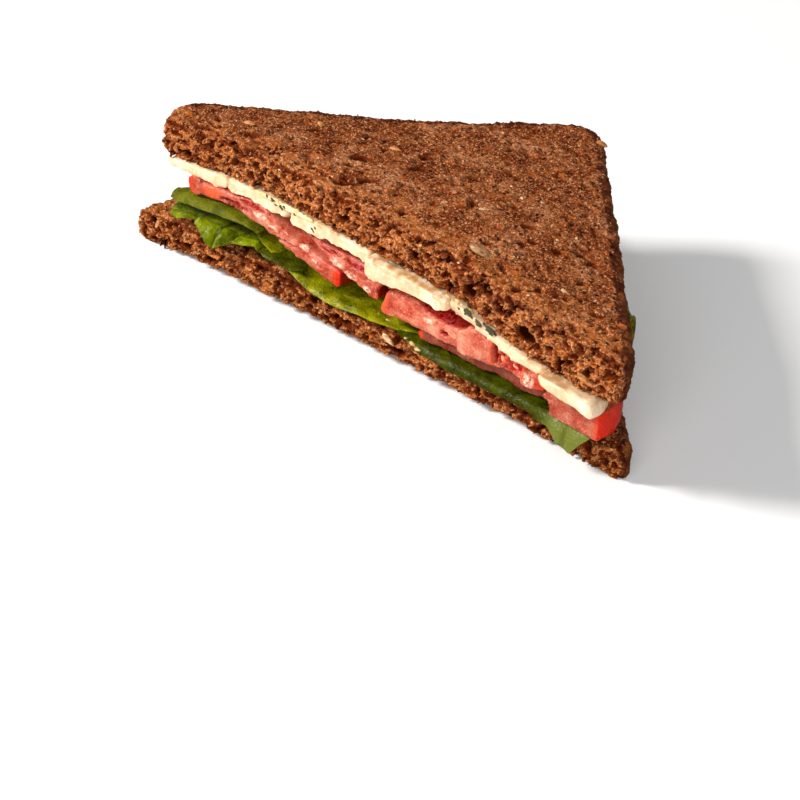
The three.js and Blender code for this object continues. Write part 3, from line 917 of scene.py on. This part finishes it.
def leaf_point(spec, u, v, seed):
    """Where a point of the flat leaf goes once it lies in the stack."""
    stem, tip = Vector(spec["stem"]), Vector(spec["tip"])
    ahead = (tip - stem).normalized()
    aside = Vector((-ahead.y, ahead.x))
    swell = max(math.sin(math.pi * min(max(u, 0.02), 0.98)) ** TAPER, 0.1)
    spine = stem.lerp(tip, u)
    fringe = measure(spec.get("fringe", 0), spine.x) if v < 0 else 0
    width = (spec["front"] + fringe if v < 0 else spec["back"]) * swell
    flat = spine + aside * v * width

    wave = math.sin(spec["waves"] * math.tau * u + 2.4 * v) * (0.4 + 0.6 * abs(v))
    pleat_at = spec["waves"] * 2.3 * u + 0.35 * v + noise.noise(Vector((u * 5, v, seed)))
    pleat = (abs(pleat_at % 1 - 0.5) * 2 - 0.5) * spec["pleat"] * max(0, abs(v) - 0.15) ** 1.2
    pucker = noise.fractal(Vector((flat.x / 5, flat.y / 5, seed)), 1, 2, 3) * 0.25
    fold = measure(spec.get("folds", 0), flat.x)
    rise = pleat + pucker + fold * smoothstep(-v, 0.05, 0.7)
    height = measure(spec["level"], flat.x) + spec["ripple"] * wave
    edge = measure(spec["edge"], flat.x)
    most = math.radians(measure(spec["turn"], flat.x))
    over = max(0, edge - flat.y)
    bend = spec.get("bend", LEAF_BEND)
    turn = min(over / bend, most)
    straight = max(0, over - bend * most)
    out = bend * math.sin(turn) + straight * math.cos(turn) + rise * math.sin(turn)
    down = bend * (1 - math.cos(turn)) + straight * math.sin(turn)
    y = edge - out if over > 0 else flat.y
    return Vector((flat.x, y, height - down + rise * math.cos(turn)))


def leaf(spec, seed):
    """A flat leaf laid into the stack, with a live thickness."""
    bm = bmesh.new()
    bmesh.ops.create_grid(
        bm, x_segments=LEAF_ALONG, y_segments=LEAF_ACROSS, size=0.5, calc_uvs=True
    )
    for vertex in bm.verts:
        u = vertex.co.x + 0.5
        v = 2 * (vertex.co.y + 0.5) ** FRONT_CROWDING - 1
        vertex.co = leaf_point(spec, u, v, seed)
        vertex.co.z = max(vertex.co.z, LEAF_LOWEST)
    nodes = [spec["node"]] if "node" in spec else []
    across = [vertex.co.x for vertex in bm.verts]
    pale, folds, flat = spec.get("pale"), spec.get("folds"), spec.get("flat", UNCREASED)
    marks = {
        "tip": [smoothstep(x, *pale) if pale else 0 for x in across],
        # painted shade where the folds lie low
        "crease_shade": [max(0, flat - measure(folds, x)) if folds else 0 for x in across],
    }
    made = piece(spec["name"], bm, LEAF_LOOKS[spec["look"]], nodes, marks)
    thick = made.modifiers.new("thickness", "SOLIDIFY")
    thick.thickness = LEAF_THICK * MM
    thick.offset = 0
    return made


leaves = [leaf(spec, 31 + number) for number, spec in enumerate(LEAVES)]

# ---------------------------------------------------------------- seeds and bits

ABOVE, AHEAD = 60, -20  # where the rays that find the surfaces start, in Z and in Y
DOWN, BACK = (0, 0, -1), (0, 1, 0)
SEED_FLATNESS, SEED_TAPER = 0.5, 0.35
SEED_SIDES, SEED_RINGS = 10, 7
BEAD_STEP, BEAD_SIDES = 0.35, 10

kernel_look = seed_finish("sunflower_kernel", "bc8e62", "744a2c", 0.6, 0.35)
flake_look = seed_finish("oat_flake", "c98a4c", "8c5020", 0.8)
pale_look = seed_finish("pale_grain", "e0be94", "a87c50", 0.7)
dropped_look = seed_finish("dropped_seed", "cdb070", "94702e", 0.7, 0.25)
rust_look = seed_finish("rust_grain", "b05a22", "7e3a14", 0.7)
green_look = seed_finish("pumpkin_kernel", "9c8662", "5c4c34", 0.7, 0.4)
herb_look = seed_finish("dried_herb", "524e2e", "2a2714", 0.5)
tomato_seed_look = seed_finish("tomato_seed", "e89870", "c0582e", 0.9, 0.2)
spread_look = seed_finish("herbed_cream", "f0d6a4", "d0a468", 0.9, 0.45)


def surface_under(*pieces):
    """A finder for the surface of finished pieces, on the bench."""
    bm = bmesh.new()
    for made in pieces:
        bm.from_mesh(made.data)
    bm.transform(TO_BENCH)
    tree = BVHTree.FromBMesh(bm)
    bm.free()
    return tree


def grain_shape(bm, at, outward, along_way, length, width):
    """A seed lying on a surface, tapered to one end."""
    seed = bmesh.ops.create_uvsphere(
        bm, u_segments=SEED_SIDES, v_segments=SEED_RINGS, radius=0.5
    )["verts"]
    side = outward.cross(along_way).normalized()
    ahead = side.cross(outward).normalized()
    for vertex in seed:
        x, y, z = vertex.co.z * 2, vertex.co.x * 2, vertex.co.y * 2
        narrow = 1 - SEED_TAPER * x
        shape = ahead * x * length / 2 + side * y * width / 2 * narrow
        vertex.co = at + shape + outward * z * width * SEED_FLATNESS / 2 * narrow


def seeds_on(name, finish, surface, on_top=(), on_cut=(), proud=0.06, above=ABOVE):
    """Seeds on a surface, at (x, y, aslant, length, width) or, on the cut, (x, z, ...).

    `aslant` is how far a seed runs in Y or in Z for each millimetre in X, `proud` how far it
    stands out of the surface, in widths, and `above` the height it falls from.
    """
    bm = bmesh.new()
    spots = [((x, y, above), DOWN, (1, aslant, 0), *size) for x, y, aslant, *size in on_top]
    spots += [((x, AHEAD, z), BACK, (1, 0, aslant), *size) for x, z, aslant, *size in on_cut]
    for origin, toward, points, length, width in spots:
        toward = Vector(toward)
        hit, outward, _, _ = surface.ray_cast(Vector(origin), toward)
        if hit is None:
            continue
        if outward.dot(toward) > 0:
            outward = -outward
        at = hit + outward * width * proud
        lies = (outward - toward).normalized()
        grain_shape(bm, at, lies, Vector(points), length, width)
    return piece(name, bm, finish)


upper_surface = surface_under(upper_slice)
lower_surface = surface_under(lower_slice)

seeds_on("sunflower_kernels", kernel_look, upper_surface, on_top=[(31.5, 7, 0.17, 6.6, 3.2)])
seeds_on(
    "green_kernel", green_look, upper_surface, on_cut=[(12, 28.1, -0.2, 5.8, 3.0)], proud=0.3
)
seeds_on(
    "oat_flakes", flake_look, upper_surface,
    on_top=[
        (-17, 28, 0.3, 3.4, 1.4),
        (-38.8, 24.4, 0.1, 3.0, 1.7),
        (-51.4, 12.3, 0.1, 3.6, 1.7),
        (7.4, 75.1, 0.4, 3.0, 2.4),
    ],
    on_cut=[(-32.3, 31.5, -0.75, 3.6, 1.2), (69.8, 24.9, -0.9, 5.0, 2.4)],
)
seeds_on("oat_flakes_low", flake_look, lower_surface, on_cut=[(-69.6, 5.4, 10, 3.0, 1.7)])
seeds_on("pale_seed_low", pale_look, lower_surface, on_cut=[(10, 7, -0.7, 3.8, 1.5)])
seeds_on(
    "pale_slivers", pale_look, upper_surface,
    on_top=[(18.4, 21.5, 1.11, 2.6, 0.8), (52.1, 11.7, 0.2, 1.8, 0.9)],
)


def specks(name, finish, surface, seed, count, sizes, box):
    """Fine bits scattered over a slice: ground seed, bran and loose crumb.

    Two of three fall on it from above, and the others lie on its cut.
    """
    rng = random.Random(seed)
    bm = bmesh.new()
    (x0, x1), (y0, y1), (z0, z1) = box
    for i in range(count):
        if i % 3:
            origin, toward = Vector((rng.uniform(x0, x1), rng.uniform(y0, y1), ABOVE)), DOWN
        else:
            origin, toward = Vector((rng.uniform(x0, x1), AHEAD, rng.uniform(z0, z1))), BACK
        hit = surface.ray_cast(origin, Vector(toward))[0]
        if hit is None or hit.z < SPECK_LOWEST:
            continue
        speck = bmesh.ops.create_icosphere(bm, subdivisions=1, radius=0.5)["verts"]
        size = rng.uniform(*sizes)
        stretch = Vector((size * rng.uniform(1, 2.2), size, size * rng.uniform(0.5, 0.9)))
        angle = rng.uniform(0, math.tau)
        axis = Vector((rng.gauss(0, 1), rng.gauss(0, 1), 2)).normalized()
        turn = Matrix.Rotation(angle, 3, axis)
        for vertex in speck:
            bent = vertex.co * rng.uniform(0.75, 1.25)
            vertex.co = hit + turn @ Vector(p * q for p, q in zip(bent, stretch))
    return piece(name, bm, finish, smooth=False)


SPECK_LOWEST = 0.6
UPPER_SPAN = ((-66, 74), (1, 78), (22, 39))
LOWER_SPAN = ((-72, 72), (-5, 6), (1, 9))
specks("pale_specks_upper", pale_look, upper_surface, 41, 90, (0.35, 0.7), UPPER_SPAN)
specks("rust_specks_upper", rust_look, upper_surface, 42, 100, (0.6, 1.4), UPPER_SPAN)
specks("crumb_bits_upper", top_crumb, upper_surface, 43, 1400, (0.3, 0.8), UPPER_SPAN)
specks("pale_specks_lower", pale_look, lower_surface, 44, 60, (0.3, 0.6), LOWER_SPAN)
specks("crumb_bits_lower", low_crumb, lower_surface, 45, 500, (0.3, 0.7), LOWER_SPAN)


def cream_line(x):
    """Height of the line where the upper slice meets the cheese, on the cut."""
    return along([(-36, 28.2), (-14, 28.2), (22, 28.8), (32, 27.2), (40, 25.4), (44, 24.2)], x)


def spread(name, start, end, seed):
    """A thin bead of herbed cream squeezed out along that line."""
    rng = random.Random(seed)
    bm = bmesh.new()
    steps = int((end - start) / BEAD_STEP)
    before = []
    for i in range(steps + 1):
        x = start + (end - start) * i / steps
        wobble = noise.fractal(Vector((x / 2.2, seed, 0)), 1, 2, 3)
        radius = (0.62 + 0.4 * wobble) * math.sin(math.pi * min(max(i / steps, 0.02), 0.98)) ** 0.3
        middle = Vector((x, -0.1 - 0.2 * wobble, cream_line(x) - 0.3 + 0.35 * wobble))
        ring = bmesh.ops.create_circle(
            bm, cap_ends=i in (0, steps), segments=BEAD_SIDES, radius=1
        )["verts"]
        loop = list(dict.fromkeys(edge for vertex in ring for edge in vertex.link_edges))
        for k, vertex in enumerate(ring):
            angle = math.tau * k / BEAD_SIDES
            vertex.co = middle + Vector((
                rng.gauss(0, 0.03), radius * math.cos(angle), 1.25 * radius * math.sin(angle)
            ))
        if before:
            bmesh.ops.bridge_loops(bm, edges=before + loop)
        before = loop
    bmesh.ops.recalc_face_normals(bm, faces=bm.faces)
    return piece(name, bm, spread_look)


def herbs(name, surface, seed, flecks):
    """Torn flecks of dried herb on the cream and the cheese, as (x, height, length, width)."""
    rng = random.Random(seed)
    bm = bmesh.new()
    for x, height, length, width in flecks:
        hit = surface.ray_cast(Vector((x, AHEAD, height)), Vector(BACK))[0]
        if hit is None:
            continue
        fleck = bmesh.ops.create_icosphere(bm, subdivisions=3, radius=0.5)["verts"]
        turn = Matrix.Rotation(rng.uniform(-0.2, 0.9), 3, "Y")
        shift = Vector((seed, x, height))
        for vertex in fleck:
            ragged = 1 + 0.75 * noise.fractal(vertex.co * 3.2 + shift, 1, 2, 3)
            flat = Vector(p * q * ragged for p, q in zip(vertex.co, (length, 0.36, width)))
            vertex.co = hit + turn @ flat
    return piece(name, bm, herb_look, smooth=False)


left_cream = spread("cream_left", -35, -15, 51)
right_cream = spread("cream_right", 28.5, 43, 52)
fresh_surface = surface_under(upper_slice, left_cream, right_cream, *strips)
herbs("herbs_left", fresh_surface, 53, [
    (-33.7, 28.2, 1.6, 0.6), (-30.6, 28.3, 1.0, 0.5), (-28.3, 28.2, 1.7, 0.8),
    (-27.4, 27.4, 0.8, 0.5), (-25.7, 27.5, 2.0, 0.7), (-24.4, 28.0, 1.0, 0.6),
    (-20.6, 27.6, 0.9, 0.4), (-15.2, 25.6, 1.3, 0.5), (-14.2, 26.4, 0.7, 0.5),
])
herbs("herbs_right", fresh_surface, 54, [
    (34.9, 27.2, 1.4, 0.9), (36.1, 26.7, 2.6, 1.5), (37.2, 26.0, 1.0, 0.6),
    (39.4, 25.4, 2.0, 1.2), (40.4, 25.4, 0.9, 0.6), (41.9, 24.8, 2.8, 1.7),
    (43.2, 24.3, 1.6, 1.1), (33.4, 26.6, 0.8, 0.5), (72.6, 21.6, 1.1, 0.8),
])
filling_surface = surface_under(left_slice, long_slice, back_slice, end_slice)
seeds_on(
    "tomato_seeds", tomato_seed_look, filling_surface,
    on_cut=[
        (-30.5, 21.4, 0.5, 2.0, 1.3),
        (-27.2, 20.6, -0.8, 1.8, 1.2),
        (24.2, 18.2, 0.6, 1.8, 1.1),
        (44.2, 17.2, -1.25, 2.4, 1.4),
        (48, 17, -0.5, 1.8, 1.2),
    ],
)
seeds_on(
    "dropped_seeds", dropped_look, surface_under(*leaves), above=13,
    on_top=[
        (4.6, 3.2, -0.3, 1.5, 0.9),
        (7.9, 3.2, 0.2, 1.7, 1.0),
        (15.7, 1.4, 3.33, 1.5, 0.9),
        (18, 1, -0.2, 2.2, 1.1),
        (20, 0.8, -0.1, 2.2, 1.2),
    ],
)

# ---------------------------------------------------------------- stage

PALE = (0.93, 0.93, 0.93, 1)
FLOOR_SIZE = 4
WHITE = (1, 1, 1)
ROOM_GLOW = 0.12
LAMP_AIM = Vector((0, 0, 0.02))

CAMERA_LENS, CAMERA_FILM = 100, 36
CAMERA_REACH = 10
CAMERA_PLACE = TO_FRAME @ Vector((317.85, -312.24, 270.01))
CAMERA_RIGHT = Vector((0.6981, 0.7146, 0.0448))
CAMERA_UP = Vector((-0.4106, 0.3483, 0.8427))


def pale_floor():
    bm = bmesh.new()
    bmesh.ops.create_grid(bm, x_segments=1, y_segments=1, size=FLOOR_SIZE)
    mesh = bpy.data.meshes.new("floor")
    bm.to_mesh(mesh)
    bm.free()
    floor = bpy.data.objects.new("floor", mesh)
    bpy.context.scene.collection.objects.link(floor)
    paint = bpy.data.materials.new("pale_floor")
    paint.use_nodes = True
    shader = paint.node_tree.nodes["Principled BSDF"]
    shader.inputs["Base Color"].default_value = PALE
    shader.inputs["Roughness"].default_value = 0.6
    mesh.materials.append(paint)
    floor.visible_glossy = False


def lamp(name, place, size, watts, tint=WHITE, mirrored=False):
    light = bpy.data.lights.new(name, "AREA")
    light.energy = watts
    light.size = size
    light.color = tint
    made = bpy.data.objects.new(name, light)
    made.location = place
    made.visible_glossy = mirrored
    made.rotation_euler = (LAMP_AIM - Vector(place)).to_track_quat("-Z", "Y").to_euler()
    bpy.context.scene.collection.objects.link(made)


def pale_room():
    world = bpy.data.worlds.new("pale_room")
    world.use_nodes = True
    glow = world.node_tree.nodes["Background"].inputs
    glow["Color"].default_value = (*WHITE, 1)
    glow["Strength"].default_value = ROOM_GLOW
    bpy.context.scene.world = world


def camera():
    data = bpy.data.cameras.new("camera")
    data.lens = CAMERA_LENS
    data.sensor_width = CAMERA_FILM
    data.clip_end = CAMERA_REACH
    made = bpy.data.objects.new("camera", data)
    turn = Matrix((CAMERA_RIGHT, CAMERA_UP, CAMERA_RIGHT.cross(CAMERA_UP))).transposed()
    made.matrix_world = Matrix.Translation(CAMERA_PLACE) @ turn.to_4x4()
    bpy.context.scene.collection.objects.link(made)
    bpy.context.scene.camera = made


pale_floor()
lamp("key", (-0.62, -0.6, 0.6), 0.26, 16, (1, 0.98, 0.94), mirrored=True)
lamp("fill", (0.6, -0.75, 0.45), 0.8, 8)
lamp("rim", (0.0, 0.7, 0.8), 0.6, 3)
pale_room()
camera()
bpy.context.scene.view_settings.view_transform = "Standard"
